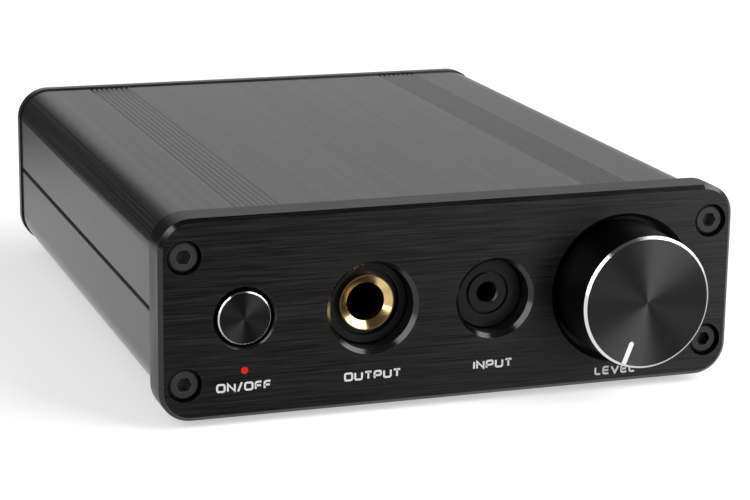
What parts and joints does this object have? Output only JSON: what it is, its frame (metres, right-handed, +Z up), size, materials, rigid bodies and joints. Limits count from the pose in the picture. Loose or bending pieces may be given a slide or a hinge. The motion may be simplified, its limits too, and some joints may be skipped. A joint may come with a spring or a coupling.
{
  "type": "headphone amplifier",
  "caption": "Small desktop headphone amplifier in an extruded metal housing, with a volume knob, a push power button, a headphone socket and a line input.",
  "frame": {"origin": "centre of the amplifier's footprint, on the surface that its feet stand on", "axes": "+Z up, the controls face -Y, +X to the right seen from the front"},
  "size_m": [0.108, 0.1492, 0.0375],
  "materials": {
    "plate_anodised": "black anodised, brushed from side to side",
    "shell_anodised": "black anodised extrusion, satin, with fine lines from front to back",
    "rear_anodised": "black anodised, fine matt",
    "knob_anodised": "black anodised, turned, with a bright diamond-cut rim",
    "black_screw": "black oxide",
    "foot_rubber": "matt black rubber",
    "white_line": "white paint",
    "bare_aluminium": "plain milled",
    "plated_steel": "nickel plated",
    "contact_metal": "plated spring bronze",
    "gold_plate": "polished gold plate",
    "black_plastic": "moulded black plastic, fine matt",
    "pale_plastic": "moulded pale plastic",
    "white_plastic": "white plastic",
    "red_plastic": "red plastic",
    "red_lens": "clear red",
    "board_green": "green laminate",
    "capacitor_sleeve": "shrunk sleeve",
    "chip_black": "moulded epoxy",
    "ferrite": "ferrite with enamelled winding",
    "resistor_blue": "lacquered"
  },
  "bodies": {
    "housing": {"front_panel": "plate_anodised", "top_shell": "shell_anodised", "bottom_shell": "shell_anodised", "rear_panel": "rear_anodised", "front_screws": "black_screw", "rear_screws": "black_screw", "rubber_feet": "foot_rubber", "pot_bushing": "plated_steel", "pot_nut": "plated_steel", "pot_case": "black_plastic", "pot_terminals": "contact_metal", "switch_case": "black_plastic", "light_pipe": "red_lens", "power_led": "red_lens", "phone_jack_ferrule": "gold_plate", "phone_jack_nut": "black_plastic", "phone_jack_body": "black_plastic", "phone_jack_contacts": "contact_metal", "line_jack_collar": "black_plastic", "line_jack_nut": "black_plastic", "line_jack_body": "black_plastic", "line_jack_contacts": "contact_metal", "rca_housing": "black_plastic", "rca_shells": "gold_plate", "rca_insulator_white": "white_plastic", "rca_insulator_red": "red_plastic", "rca_contacts": "gold_plate", "dc_inlet_case": "black_plastic", "dc_centre_pin": "plated_steel", "circuit_board": "board_green", "filter_capacitors": "capacitor_sleeve", "film_capacitors": "red_plastic", "chip_sockets": "black_plastic", "amplifier_chips": "chip_black", "heatsink": "bare_aluminium", "voltage_regulators": "chip_black", "muting_relay": "pale_plastic", "input_choke": "ferrite", "resistors": "resistor_blue"},
    "knob": {"volume_knob": "knob_anodised", "knob_pointer": "white_line", "pot_shaft": "bare_aluminium"},
    "button": {"power_button": "knob_anodised", "switch_plunger": "pale_plastic"}
  },
  "joints": [
    {"name": "volume_turn", "type": "hinge", "parent": "housing", "child": "knob", "pos_m": [0.03235, -0.06395, 0.0194], "axis": [0, 1, 0], "range_deg": [0, 300]},
    {"name": "power_press", "type": "slide", "parent": "housing", "child": "button", "axis": [0, 1, 0], "range_m": [0, 0.003], "stiffness_N_per_m": 600}
  ]
}
